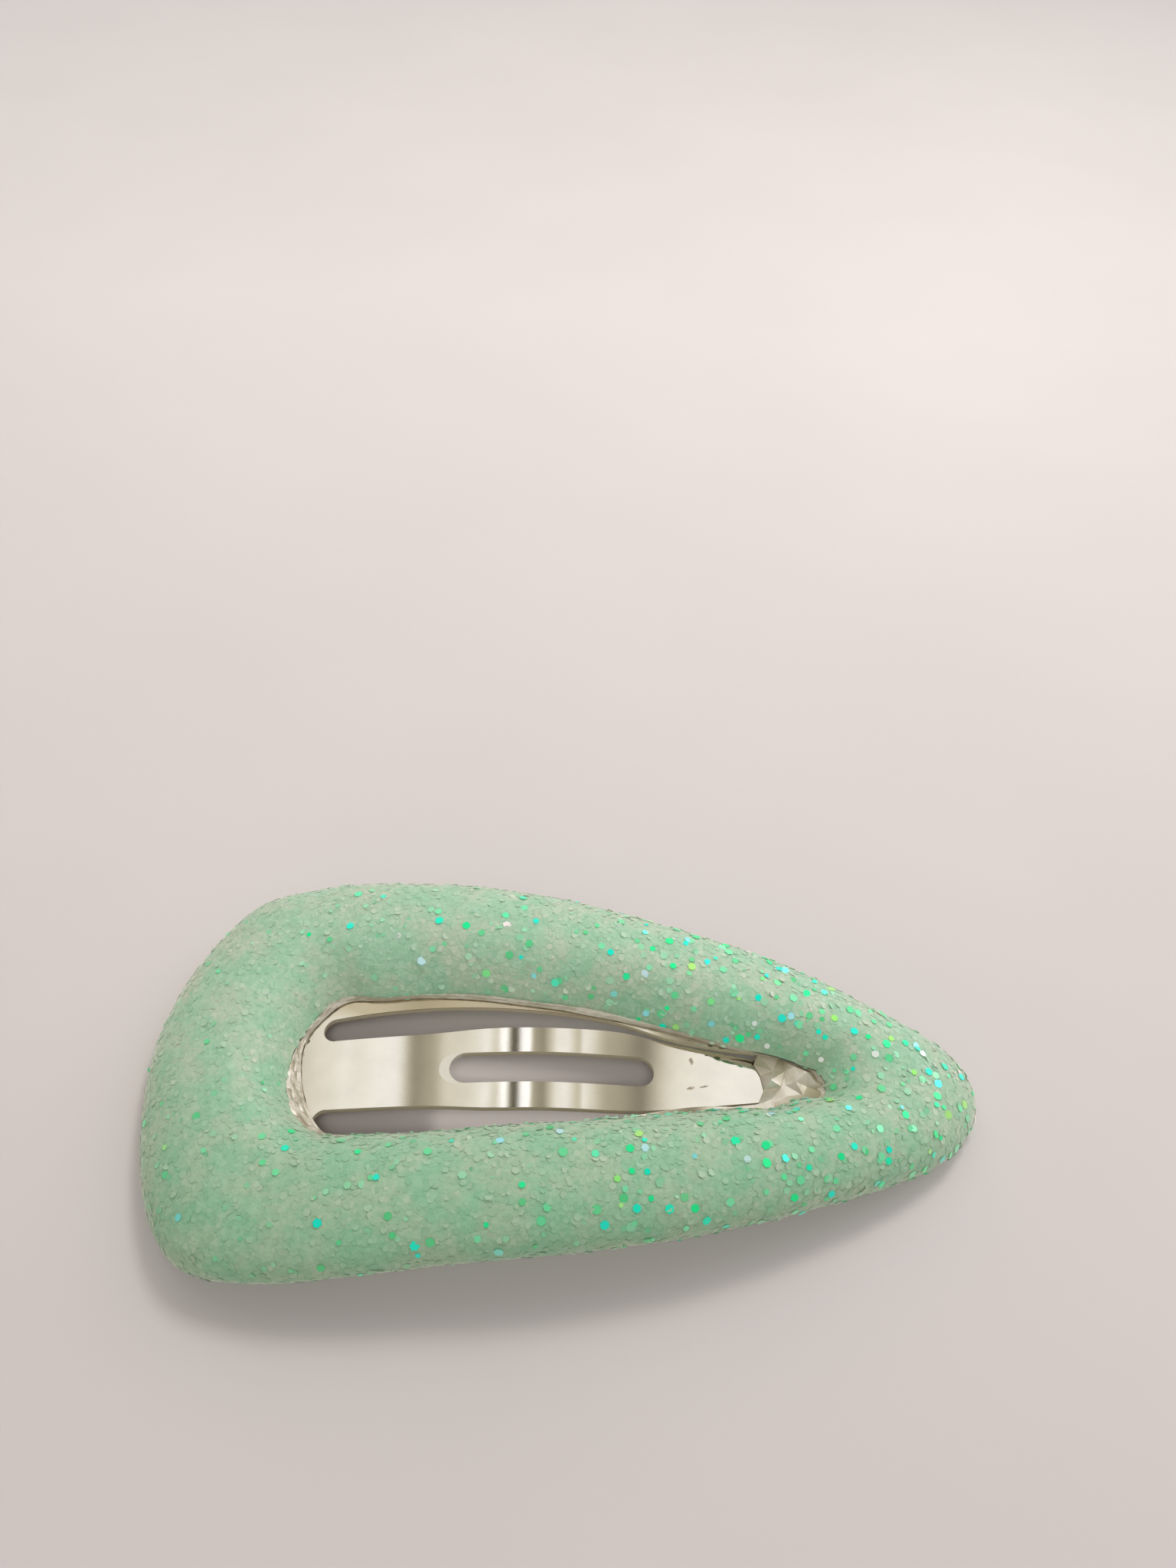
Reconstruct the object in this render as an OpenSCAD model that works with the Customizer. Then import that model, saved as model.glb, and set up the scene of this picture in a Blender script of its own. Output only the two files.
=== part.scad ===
// A padded snap clip for hair: a teardrop ring of stuffed glitter fabric over a sprung steel clip.
// It lies decorated side up. X runs from the wide end to the tip, Z is up, and the origin is on the
// surface that it rests on, under the middle of its box. Sizes are in millimetres.

/* [Cover] */
// Length of the padded cover
cover_l = 62; // [58:1:68]
// Thickness of the padded roll
roll_t = 4.9; // [4.6:0.1:5.4]
// Rise of the cover's middle over its ends
cover_rise = 4.5; // [4.2:0.1:4.8]
// How squarely the roll's outer side bulges: 2 is an ellipse
roundness = 2.2; // [2:0.1:2.6]
// How full its inner flank is: 2 slopes in a plain curve to the window
flank = 2.4; // [2:0.1:3]
// How far the padded ends are pressed flat where they rest
press = 0.15; // [0.05:0.05:0.3]

/* [Steel clip] */
// Thickness of the sheet steel
steel_t = 0.5; // [0.4:0.05:0.55]
// Radius of the steel's arch along its length
steel_arch_r = 92; // [88:1:98]
// Turn of the steel clip inside its cover, in degrees
skew = 1.7; // [0:0.1:2]

/* [Tongue] */
// Width of the tongue beside its slot
tongue_w = 6.4; // [6:0.1:6.6]
// Width of the tongue's root
root_w = 5.6; // [5:0.1:5.8]
// Length of the slot, with its round ends
slot_l = 15.1; // [12:0.1:16]
// Width of the slot
slot_w = 2.4; // [1.6:0.1:2.6]
// How far the tongue bows up over the arms at its middle
tongue_bow = 0.15; // [0:0.05:0.4]

/* [Rim] */
// Thickness of the crimped sheet that lines the window
rim_t = 0.12; // [0.1:0.01:0.16]
// Height of the folds in its crumpled tip
crumple = 0.22; // [0.1:0.02:0.3]

/* [Hidden] */
$fn = 96;

// Outlines seen from above are halves of closed curves: chains of tangent arcs from the wide end to
// the tip. Columns: turn in degrees, radius, steps. The last arc closes on the centre line by itself.
COVER_ARCS = [[39.9, 21.1, 6], [48, 5.6, 8], [28.9, 102.8, 12], [0, 0, 10]];
WINDOW_ARCS = [[42, 6.4, 6], [47.8, 4.4, 8], [17.2, 117, 12], [0, 0, 10]];
RIM_ARCS = [[41.6, 6.9, 6], [47.4, 2.2, 8], [15.9, 107.4, 12], [0, 0, 10]];
ARM_ARCS = [[26.8, 71, 16], [0, 0, 8]];
PAD_ARCS = [[9, 38, 6], [1.5, 380, 4], [0, 0, 10]];
// Where those curves start on the centre line, or their first point and its heading
WINDOW_X = 10.5;
RIM_X = 11.9;
GAP_OUTER = [13.82, 4.6];
GAP_HEADING = 6.3;
PAD_X = 33;

// The roll's cross-section. Its underside tucks round the steel. Columns: place across the roll, from
// 0 at its outer edge to 1 at the window, and height over the middle of the steel sheet.
TUCK = [[0.69, -0.70], [0.705, -0.52], [0.69, -0.34], [0.43, -0.34], [0.41, 0], [0.43, 0.34],
    [0.90, 0.34], [0.92, 0.50], [0.96, 0.55]];
BELLY_SHARE = 0.405;   // height of the roll's widest line, as a share of its thickness
LIP_Z = 1.9;           // height of the fabric's edge at the window
SKIN_STEPS = 12;       // from the window over the top to the widest line, half of them on the flank
UNDER_STEPS = 4;       // from there to the bottom
FRAME_EDGE = 0.55;     // place of the steel's outer edge across the roll

// The crimped rim in cross-section. Columns: place from the rim's inner edge at 1 to the window's
// edge at 0, height over the steel sheet's middle, and share of the crumple.
RIM_FOLDS = [[1, 0.44, 0.15], [0.7, 0.60, -0.7], [0.45, 0.62, 0.8], [0.2, 0.66, -1]];
// Its foot lies on the steel under the fabric. Columns: place across the roll, height as above.
RIM_FOOT = [[0.985, 0.33], [0.93, 0.31]];
RIM_WALL = 0.16;       // drop of the rim's wall below the fabric's edge
// How much of the crumple each arc of the rim shows, from the wide end to the tip
RIM_CRUMPLE = [0.3, 0.3, 0.12, 1];

STEEL_MID_X = 31;      // crest of the steel's arch
STEEL_TOP = 5.7;       // its height, from the line under the cover's ends to the sheet's middle
PIVOT_X = 29;          // the steel is turned in its cover about this point
RELIEF_Y = 3.68;       // middle of the round end of each gap, which lies beside the tongue's root
HINGE_GAP = 0.15;      // between the frame's root tab and the tongue
SLOT_X = 22.2;         // the slot's end near the root
NECK_FLARE = 0.2;      // the tongue is this much wider there than at its root
SHOULDER_X = 24.5;     // and has its full width from here
// How the tongue is set over the arms' arch. Columns: place along it, height.
TONGUE_SET = [[GAP_OUTER.x, 0], [29, tongue_bow], [41, -0.62], [52, -0.62]];
SET_STEPS = 30;
RIVET_X = 52;
RIVET_R = 1.1;
RIVET_H = 0.5;
RIVET_GAP = 0.06;
ROOM = 40;             // larger than any piece

function on_arc(centre, r, a) = centre - r * [sin(a), -cos(a)];
// Points of a chain of arcs from p, with the heading a in degrees
function chain(arcs, p, a, i = 0) =
    let (closing = i == len(arcs) - 1,
        turn = closing ? 90 + a : arcs[i][0],
        r = closing ? p.y / cos(a) : arcs[i][1],
        centre = p + r * [sin(a), -cos(a)],
        n = arcs[i][2],
        last = on_arc(centre, r, a - turn))
    concat([for (j = [0:n - 1]) on_arc(centre, r, a - turn * j / n)],
        closing ? [last] : chain(arcs, last, a - turn, i + 1));
function scaled(points, s) = [for (p = points) s * p];
// The whole closed curve from its half
function mirrored(half) = concat(half, [for (i = [len(half) - 2:-1:1]) [half[i].x, -half[i].y]]);
// The same, where the half doesn't start on the centre line
function mirrored_open(half) = concat(half, [for (i = [len(half) - 2:-1:0]) [half[i].x, -half[i].y]]);

drawn_cover = chain(COVER_ARCS, [0, 0], 90);
k = cover_l / drawn_cover[len(drawn_cover) - 1].x;
cover_line = mirrored(scaled(drawn_cover, k));
window_line = mirrored(scaled(chain(WINDOW_ARCS, [WINDOW_X, 0], 90), k));
rim_line = mirrored(scaled(chain(RIM_ARCS, [RIM_X, 0], 90), k));
stations = len(cover_line);
// A point across the roll at one station, from 0 at the outer edge to 1 at the window
function across(i, t) = cover_line[i] + t * (window_line[i] - cover_line[i]);

function cover_z(p) = cover_rise * (1 - pow(2 * p.x / cover_l - 1, 2));
function arch_z(x) = STEEL_TOP - steel_arch_r + sqrt(pow(steel_arch_r, 2) - pow(x - k * STEEL_MID_X, 2));
// Height of the turned steel sheet's middle over a point of the plan
function steel_z(p) = arch_z(k * PIVOT_X + (p.x - k * PIVOT_X) * cos(skew) + p.y * sin(skew));

function signed_pow(v, e) = sign(v) * pow(abs(v), e);
belly_z = BELLY_SHARE * roll_t;
// Its inner flank, from w = 0 at the window to 90 at the top: place and height
function flank_at(w) = [(1 + cos(w)) / 2, LIP_Z + (roll_t - LIP_Z) * (1 - pow(cos(w), flank))];
// Its outer side, from w = 90 at the top to -90 at the bottom
function side_at(w) = [(1 - signed_pow(cos(w), 2 / roundness)) / 2,
    w >= 0 ? belly_z + (roll_t - belly_z) * pow(sin(w), 2 / roundness)
        : belly_z * (1 - pow(-sin(w), 2 / roundness))];
skin_rows = concat(
    [for (j = [0:SKIN_STEPS / 2 - 1]) flank_at(180 * j / SKIN_STEPS)],
    [for (j = [SKIN_STEPS / 2:-1:0]) side_at(180 * j / SKIN_STEPS)],
    [for (j = [1:UNDER_STEPS]) side_at(-90 * j / UNDER_STEPS)]);
function at(p, z) = [p.x, p.y, z];
function cover_section(i) = concat(
    [for (r = skin_rows) let (p = across(i, r[0])) at(p, cover_z(p) + r[1])],
    [for (r = TUCK) let (p = across(i, r[0])) at(p, steel_z(p) + r[1])]);
cover_rings = [for (i = [0:stations - 1]) cover_section(i)];
// The surface that the clip rests on
floor_z = min([for (ring = cover_rings) for (q = ring) q.z]) + press;

// Skin through closed rings of points, which themselves form a ring
module ring_solid(rings) {
    n = len(rings[0]);
    m = len(rings);
    polyhedron([for (ring = rings) for (q = ring) q],
        [for (i = [0:m - 1]) for (j = [0:n - 1]) let (a = (i + 1) % m, b = (j + 1) % n)
            for (f = [[i * n + j, i * n + b, a * n + b], [i * n + j, a * n + b, a * n + j]]) f]);
}

// From the drawing's frame to the clip's own: on its resting surface, in the middle of its length
module placed() {
    translate([-cover_l / 2, 0, -floor_z]) children();
}

module turned_in_cover() {
    placed() translate([k * PIVOT_X, 0, 0]) rotate([0, 0, skew]) translate([-k * PIVOT_X, 0, 0]) children();
}

module cover() {
    color("#a3cfae") translate([-cover_l / 2, 0, 0])
        ring_solid([for (ring = cover_rings) [for (q = ring) [q.x, q.y, max(q.z - floor_z, 0)]]]);
}

arm_line = scaled(chain(ARM_ARCS, GAP_OUTER, GAP_HEADING), k);
gap_r = k * (GAP_OUTER.y - RELIEF_Y);

module frame_window() {
    polygon(mirrored_open(arm_line));
    for (side = [-1, 1]) translate([k * GAP_OUTER.x, side * k * RELIEF_Y]) circle(r = gap_r);
}

module steel_arch() {
    translate([k * STEEL_MID_X, 0, STEEL_TOP - steel_arch_r]) rotate([90, 0, 0]) difference() {
        cylinder(r = steel_arch_r + steel_t / 2, h = ROOM, center = true);
        cylinder(r = steel_arch_r - steel_t / 2, h = ROOM + 1, center = true);
    }
}

module spring_frame() {
    color("#dcd6c8") turned_in_cover() intersection() {
        linear_extrude(ROOM) difference() {
            polygon([for (i = [0:stations - 1]) across(i, FRAME_EDGE)]);
            frame_window();
        }
        steel_arch();
    }
}

// Height over the arms' arch, eased from one row of TONGUE_SET to the next
function set_between(a, b, x) = let (u = (x - a[0]) / (b[0] - a[0])) a[1] + (b[1] - a[1]) * u * u * (3 - 2 * u);
function set_at(x, i = 0) = x <= TONGUE_SET[i + 1][0] || i == len(TONGUE_SET) - 2
    ? set_between(TONGUE_SET[i], TONGUE_SET[i + 1], x) : set_at(x, i + 1);
root_x = GAP_OUTER.x + HINGE_GAP;
pad_line = chain(PAD_ARCS, [PAD_X, tongue_w / 2], 0);
tongue_x = [for (j = [0:SET_STEPS]) root_x + (TONGUE_SET[len(TONGUE_SET) - 1][0] - root_x) * j / SET_STEPS];

module tongue_plan() {
    difference() {
        polygon(mirrored_open(concat(
            [[root_x, root_w / 2], [SLOT_X, (root_w + NECK_FLARE) / 2], [SHOULDER_X, tongue_w / 2]],
            pad_line)));
        for (x = [SLOT_X + slot_w / 2, SLOT_X + slot_l - slot_w / 2]) translate([x, 0]) circle(d = slot_w);
        translate([SLOT_X + slot_w / 2, -slot_w / 2]) square([slot_l - slot_w, slot_w]);
    }
}

module tongue_side() {
    mid = [for (x = tongue_x) [k * x, arch_z(k * x) + set_at(x)]];
    half_t = [0, steel_t / 2];
    polygon(concat([for (p = mid) p + half_t], [for (j = [len(mid) - 1:-1:0]) mid[j] - half_t]));
}

module tongue() {
    color("#e6dfd0") turned_in_cover() intersection() {
        linear_extrude(ROOM) scale(k) tongue_plan();
        rotate([90, 0, 0]) linear_extrude(ROOM, center = true) tongue_side();
    }
}

half_stations = (stations - 1) / 2;
// The arc that a station lies on, counted from the wide end
function arc_of(i, a = 0) = let (j = i > half_stations ? stations - i : i)
    a == len(RIM_ARCS) - 1 || j <= steps_to(a) ? a : arc_of(i, a + 1);
function steps_to(a) = a < 0 ? 0 : RIM_ARCS[a][2] + steps_to(a - 1);
function fold(i) = crumple * RIM_CRUMPLE[arc_of(i)] * (i % 2 == 0 ? 1 : -1);
function rim_at(i, s) = window_line[i] + s * (rim_line[i] - window_line[i]);
function rim_section(i) =
    let (edge = window_line[i],
        under = concat(
            [for (r = RIM_FOLDS) let (p = rim_at(i, r[0])) at(p, steel_z(p) + r[1] - rim_t + fold(i) * r[2])],
            [at(edge, cover_z(edge) + LIP_Z - RIM_WALL - rim_t)],
            [for (r = RIM_FOOT) let (p = across(i, r[0])) at(p, steel_z(p) + r[1])]))
    concat([for (q = under) q + [0, 0, rim_t]], [for (j = [len(under) - 1:-1:0]) under[j]]);

module window_rim() {
    color("#cfc6ae") placed() ring_solid([for (i = [0:stations - 1]) rim_section(i)]);
}

module tip_rivet() {
    x = k * RIVET_X;
    dome_r = (pow(RIVET_R, 2) + pow(RIVET_H, 2)) / (2 * RIVET_H);
    tilt = asin((x - k * STEEL_MID_X) / steel_arch_r);
    color("#b9b3a6") turned_in_cover() translate([x, 0, arch_z(x)]) rotate([0, tilt, 0])
        translate([0, 0, -steel_t / 2 - RIVET_GAP]) intersection() {
            translate([0, 0, dome_r - RIVET_H]) sphere(r = dome_r);
            translate([0, 0, -RIVET_H]) cylinder(r = RIVET_R, h = RIVET_H);
        }
}

cover();
spring_frame();
tongue();
window_rim();
tip_rivet();
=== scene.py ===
"""A padded snap clip for hair: a teardrop ring of glitter fabric over a sprung steel clip."""
import math
from collections import namedtuple

import bmesh
import bpy
import numpy as np
from mathutils import Matrix, Vector, noise
from mathutils.geometry import delaunay_2d_cdt


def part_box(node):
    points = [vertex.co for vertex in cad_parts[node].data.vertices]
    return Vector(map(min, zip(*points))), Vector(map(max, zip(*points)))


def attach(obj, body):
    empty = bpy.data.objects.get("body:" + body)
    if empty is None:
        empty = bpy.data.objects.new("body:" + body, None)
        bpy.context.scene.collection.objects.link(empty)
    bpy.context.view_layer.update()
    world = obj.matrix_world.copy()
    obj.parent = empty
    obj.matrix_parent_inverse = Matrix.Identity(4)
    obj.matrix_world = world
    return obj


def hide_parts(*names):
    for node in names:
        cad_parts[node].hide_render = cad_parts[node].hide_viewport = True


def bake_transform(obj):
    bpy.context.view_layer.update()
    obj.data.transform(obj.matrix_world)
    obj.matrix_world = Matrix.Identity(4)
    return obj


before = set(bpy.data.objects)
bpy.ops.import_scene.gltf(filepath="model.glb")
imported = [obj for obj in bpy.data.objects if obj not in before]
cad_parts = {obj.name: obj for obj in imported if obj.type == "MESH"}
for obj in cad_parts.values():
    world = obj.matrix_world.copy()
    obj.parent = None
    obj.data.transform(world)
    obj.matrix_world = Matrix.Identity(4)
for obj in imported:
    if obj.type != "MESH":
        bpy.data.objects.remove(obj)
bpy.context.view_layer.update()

# Sizes are in millimetres, in the drawing's frame: x from the wide end, y across, z up from the line under
# the cover's ends. placed() takes them to the clip's own frame, in metres.
MM = 0.001
cover_low, cover_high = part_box("cover")
COVER_L = (cover_high.x - cover_low.x) / MM
K = 1.00114                # from the outlines as drawn, 61.93 long, to this clip's length
FLOOR_Z = 1.0893           # height of the surface that the clip rests on
COVER_RISE = 4.5           # rise of the roll's line from its ends to its middle
ROLL_T = 4.9               # thickness of the roll
ROUNDNESS = 2.2            # power of its outer side: 2 is an ellipse, and more is fuller
FLANK = 2.4                # power of its slope down to the window
NEAR_FLANK = 3.2           # the same on the window's near side, where the cloth bulges more
NEAR_SPAN = 4.5            # distance from the centre line at which that is full
BELLY_Z = 0.405 * ROLL_T   # height of the roll's widest line
LIP_Z = 1.9                # height of the cloth's edge at the window
FAR_LIP_DROP = 0.5         # how much lower that edge lies on the window's far side
FAR_SPAN = 4               # distance from the centre line at which that is full
STEEL_T = 0.5
STEEL_TOP = 5.7            # height of the sheet's middle at the top of its arch
STEEL_MID_X = 31 * K       # place of that top
STEEL_ARCH_R = 92
PIVOT_X = 29 * K           # the steel is turned in its cover about this point of the centre line
SKEW = math.radians(1.7)

# Half outlines as chains of tangent arcs from the wide end to the tip. Columns: turn in degrees, radius. A
# last row of zeros closes the chain on the centre line. The steps are the points on each arc.
COVER_ARCS = [(39.9, 21.1), (48, 5.6), (28.9, 102.8), (0, 0)]
WINDOW_ARCS = [(42, 6.4), (47.8, 4.4), (17.2, 117), (0, 0)]
RIM_ARCS = [(41.6, 6.9), (47.4, 2.2), (15.9, 107.4), (0, 0)]
ARC_STEPS = [60, 22, 210, 26]
WINDOW_X = 10.5            # start of the window's outline
RIM_X = 11.9               # and of the rim's inner one
ARM_ARCS = [(26.8, 71), (0, 0)]
ARM_STEPS = [60, 12]
PAD_ARCS = [(9, 38), (1.5, 380), (0, 0)]
PAD_STEPS = [14, 20, 12]
PAD_X = 33                 # start of the pad's outline

# The opening between an arm and the tongue has a round end at the tongue's root: its outer corner, the
# arm's heading there in degrees, and its middle.
GAP_OUTER = (13.82, 4.6)
GAP_HEADING = 6.3
RELIEF_Y = 3.68
RELIEF_STEPS = 12
FRAME_EDGE = 0.55          # place of the steel's outer edge across the roll
FRAME_EVERY = 4            # stations between the points of that edge
TONGUE_W = 6.4
SLOT_X = 22.45             # the slot's end near the root
SLOT_L = 14.85
SLOT_W = 2.4
SLOT_STEPS = 16

# Where this clip departs from its even outlines. Columns: x, y, reach, push outward.
COVER_PUSHES = [
    (23, -15.6, 8, -0.55), (8.5, 15.5, 3, -0.4), (8, -15, 3, -0.3), (60.5, -3, 3, -0.7), (38, 13.2, 7, -0.35),
    (33, -14.5, 8, -0.25), (1.5, -5, 4, -0.35), (0, 0, 5, -0.15)]
WINDOW_PUSHES = [
    (10.5, 1, 3, -0.3), (14, 5.4, 2, 0.4), (16.5, 5.8, 2.2, -0.2), (27, -5, 6, -0.4), (36, -4.4, 6, -0.2),
    (17, -5.6, 4, -0.2), (24, 5.9, 4.5, 0.32), (33, 5.2, 4, 0.3), (45.3, -1.6, 2.2, 0.45),
    (47.6, -1.3, 1.2, -0.3), (47, 1.2, 2.5, 0.45), (49.5, 0.7, 1, 0.5), (49.6, -0.8, 1, 0.4),
    (50.5, 0, 1.2, -0.9)]
ARM_PUSHES = [(44.2, -1.6, 3.2, 0.9), (38.5, 3, 3, -0.38), (45.2, 1.1, 1.8, 0.4)]
PAD_PUSHES = [(38.3, 2.8, 2.2, -0.3), (42, 2.2, 2.5, -0.15)]
# Where the cloth hides part of the rim. Columns: x, y, reach, share hidden.
RIM_SLIMS = [(11.7, 3.2, 3.2, 0.75), (18, 6, 4, 0.75), (24, 6, 3.5, 0.5), (29, 5.8, 3, 0.35),
             (37, 4.4, 4, 0.75), (43, 2.6, 3.4, 0.75)]


def right_of(angle):
    """The direction to the right of a heading in radians."""
    return np.array([math.sin(angle), -math.cos(angle)])


def chain(arcs, steps, start, heading):
    """Points of a chain of tangent arcs from start, each turning right, with the heading in degrees."""
    points = []
    point, angle = np.array(start, float), math.radians(heading)
    for (turn, radius), count in zip(arcs, steps):
        turn = math.radians(turn) if turn else math.pi / 2 + angle
        radius = radius or point[1] / math.cos(angle)
        centre = point + radius * right_of(angle)
        points += [centre - radius * right_of(angle - turn * j / count) for j in range(count)]
        angle -= turn
        point = centre - radius * right_of(angle)
    return K * np.array(points + [point])


def circle_points(centre, radius, start, turn, count):
    """Points of an arc from the start angle on, both angles in degrees."""
    angles = [math.radians(start + turn * j / count) for j in range(count + 1)]
    return [(centre[0] + radius * math.cos(a), centre[1] + radius * math.sin(a)) for a in angles]


def mirrored(half, open_start=False):
    """The whole curve from its half. It is closed at its start too, unless open_start is set."""
    back = half[-2::-1] if open_start else half[-2:0:-1]
    return np.concatenate([half, back * [1, -1]])


def nearness(line, x, y, reach):
    """1 at a place and less with distance from it, for each point of a line."""
    return np.exp(-np.sum((line - [x, y]) ** 2, axis=1) / reach ** 2)


def pushed(line, pushes):
    """A closed line pushed outward, or inward, near some places."""
    along = np.roll(line, -1, axis=0) - np.roll(line, 1, axis=0)
    outward = np.column_stack([-along[:, 1], along[:, 0]])
    outward /= np.linalg.norm(outward, axis=1, keepdims=True)
    amount = sum(push * nearness(line, x, y, reach) for x, y, reach, push in pushes)
    return line + outward * amount[:, None]


cover_line = pushed(mirrored(chain(COVER_ARCS, ARC_STEPS, (0, 0), 90)), COVER_PUSHES)
window_line = pushed(mirrored(chain(WINDOW_ARCS, ARC_STEPS, (WINDOW_X, 0), 90)), WINDOW_PUSHES)
rim_line = mirrored(chain(RIM_ARCS, ARC_STEPS, (RIM_X, 0), 90))
for slim_x, slim_y, slim_reach, hidden in RIM_SLIMS:
    near_it = nearness(rim_line, slim_x, slim_y, slim_reach)[:, None]
    rim_line += hidden * near_it * (window_line - rim_line)
STATIONS = len(cover_line)


def share_past(values, start, span):
    """0 up to start, and 1 from a span beyond it."""
    return np.clip((values - start) / span, 0, 1)


near_share = share_past(-window_line[:, 1], 0, NEAR_SPAN) ** 2
far_share = share_past(window_line[:, 1], 0, FAR_SPAN) ** 2


def across(place):
    """Points at one place across the roll, from 0 at its outer edge to 1 at the window."""
    return cover_line + place * (window_line - cover_line)


def cover_z(x):
    """Height of the line that the roll stands on."""
    return COVER_RISE * (1 - (2 * x / COVER_L - 1) ** 2)


def arch_z(x):
    """Height of the steel sheet's middle along the steel."""
    return STEEL_TOP - STEEL_ARCH_R + np.sqrt(STEEL_ARCH_R ** 2 - (x - STEEL_MID_X) ** 2)


def steel_z(points):
    """The same over points of the plan, with the steel turned."""
    along = (points[:, 0] - PIVOT_X) * math.cos(SKEW) + points[:, 1] * math.sin(SKEW)
    return arch_z(PIVOT_X + along)


def turned(points):
    """The steel's own turn inside its cover."""
    points = np.asarray(points, float).copy()
    x, y = points[:, 0] - PIVOT_X, points[:, 1].copy()
    points[:, 0] = PIVOT_X + x * math.cos(SKEW) - y * math.sin(SKEW)
    points[:, 1] = x * math.sin(SKEW) + y * math.cos(SKEW)
    return points


def placed(points):
    """From the drawing's frame to the clip's own, in metres."""
    return (np.asarray(points, float) - [COVER_L / 2, 0, FLOOR_Z]) * MM


def new_object(name, points, faces, smooth=True):
    mesh = bpy.data.meshes.new(name)
    mesh.from_pydata([tuple(p) for p in points], [], faces)
    mesh.validate()
    mesh.polygons.foreach_set("use_smooth", [smooth] * len(mesh.polygons))
    piece = bpy.data.objects.new(name, mesh)
    bpy.context.scene.collection.objects.link(piece)
    return piece


def ring_faces(rings, rows):
    """Quads of a closed skin: rings of stations, each with closed rows."""
    station, row = np.meshgrid(np.arange(rings), np.arange(rows), indexing="ij")
    ahead, up = (station + 1) % rings, (row + 1) % rows
    corners = [station * rows + row, station * rows + up, ahead * rows + up, ahead * rows + row]
    return np.stack(corners, axis=-1).reshape(-1, 4).tolist()


def grid_normals(grid):
    """The outward normal at each point of a closed skin."""
    along = np.roll(grid, -1, axis=0) - np.roll(grid, 1, axis=0)
    round_it = np.roll(grid, -1, axis=1) - np.roll(grid, 1, axis=1)
    normals = np.cross(along, round_it)
    return normals / np.maximum(np.linalg.norm(normals, axis=2, keepdims=True), 1e-9)


def roll_uv(piece, grid):
    """A UV map in millimetres: u along the roll and v round it, as measured on one row and one ring."""
    rings, rows = grid.shape[:2]
    middle = grid[:, rows // 3]
    step = np.linalg.norm(np.roll(middle, -1, axis=0) - middle, axis=1)
    along = np.concatenate([[0], np.cumsum(step)]) / MM
    girth = np.linalg.norm(np.diff(grid[rings // 8], axis=0), axis=1)
    round_it = np.concatenate([[0], np.cumsum(girth)]) / MM
    corner = np.zeros(len(piece.data.loops), int)
    piece.data.loops.foreach_get("vertex_index", corner)
    station, row = corner.reshape(-1, 4) // rows, corner.reshape(-1, 4) % rows
    wraps = station.max(axis=1) - station.min(axis=1) > 1
    station = np.where(wraps[:, None] & (station == 0), rings, station)
    uv = np.stack([along[station], round_it[row]], axis=-1)
    piece.data.uv_layers.new(name="roll").data.foreach_set("uv", uv.ravel())


# Small helpers for node trees. Noise is scaled per metre over an object's place, and per millimetre over a
# UV map.
def material(name):
    made = bpy.data.materials.new(name)
    made.use_nodes = True
    tree = made.node_tree
    return made, tree, tree.nodes["Principled BSDF"]


def node(tree, kind, **settings):
    """A new node. Each setting is one of its inputs, or else one of its properties."""
    made = tree.nodes.new(kind)
    for key, value in settings.items():
        if key in made.inputs.keys():
            made.inputs[key].default_value = value
        else:
            setattr(made, key, value)
    return made


def linear(r, g, b):
    """A colour as seen on a screen, 0 to 255, in the renderer's own scale."""
    return tuple((c / 255 / 12.92) if c < 10.3 else ((c / 255 + 0.055) / 1.055) ** 2.4 for c in (r, g, b))


def grey(value):
    return (value, value, value)


def ramp(tree, source, stops):
    made = tree.nodes.new("ShaderNodeValToRGB")
    elements = made.color_ramp.elements
    while len(elements) < len(stops):
        elements.new(1)
    for element, (position, color) in zip(elements, stops):
        element.position = position
        element.color = (*color, 1)
    tree.links.new(source, made.inputs["Fac"])
    return made.outputs["Color"]


def mix(tree, factor, a, b, blend="MIX"):
    made = node(tree, "ShaderNodeMix", data_type="RGBA", blend_type=blend)
    for socket, value in ((made.inputs[0], factor), (made.inputs[6], a), (made.inputs[7], b)):
        if isinstance(value, bpy.types.NodeSocket):
            tree.links.new(value, socket)
        else:
            socket.default_value = value if isinstance(value, float) else (*value, 1)
    return made.outputs[2]


def math_node(tree, operation, *values):
    """The result of a Math node, whose values are sockets or numbers."""
    made = node(tree, "ShaderNodeMath", operation=operation)
    for socket, value in zip(made.inputs, values):
        if isinstance(value, bpy.types.NodeSocket):
            tree.links.new(value, socket)
        else:
            socket.default_value = value
    return made.outputs[0]


def share_between(tree, value, first, last, interpolation="LINEAR"):
    """0 where the value is first, and 1 where it is last."""
    made = node(tree, "ShaderNodeMapRange", interpolation_type=interpolation)
    made.inputs["From Min"].default_value = first
    made.inputs["From Max"].default_value = last
    tree.links.new(value, made.inputs["Value"])
    return made.outputs["Result"]


def object_place(tree):
    return node(tree, "ShaderNodeTexCoord").outputs["Object"]


def uv_map(tree, name):
    return node(tree, "ShaderNodeUVMap", uv_map=name).outputs["UV"]


def attribute(tree, name):
    return node(tree, "ShaderNodeAttribute", attribute_name=name).outputs["Fac"]


def xyz(tree, vector):
    """The vector's parts, by the names X, Y and Z."""
    made = node(tree, "ShaderNodeSeparateXYZ")
    tree.links.new(vector, made.inputs[0])
    return made.outputs


def noise_value(tree, vector, scale, detail=2.0, roughness=0.5):
    made = node(tree, "ShaderNodeTexNoise", Scale=scale, Detail=detail, Roughness=roughness)
    tree.links.new(vector, made.inputs["Vector"])
    return made.outputs["Fac"]


def stretched(tree, vector, scale):
    made = node(tree, "ShaderNodeMapping")
    made.inputs["Scale"].default_value = scale
    tree.links.new(vector, made.inputs["Vector"])
    return made.outputs["Vector"]


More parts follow.
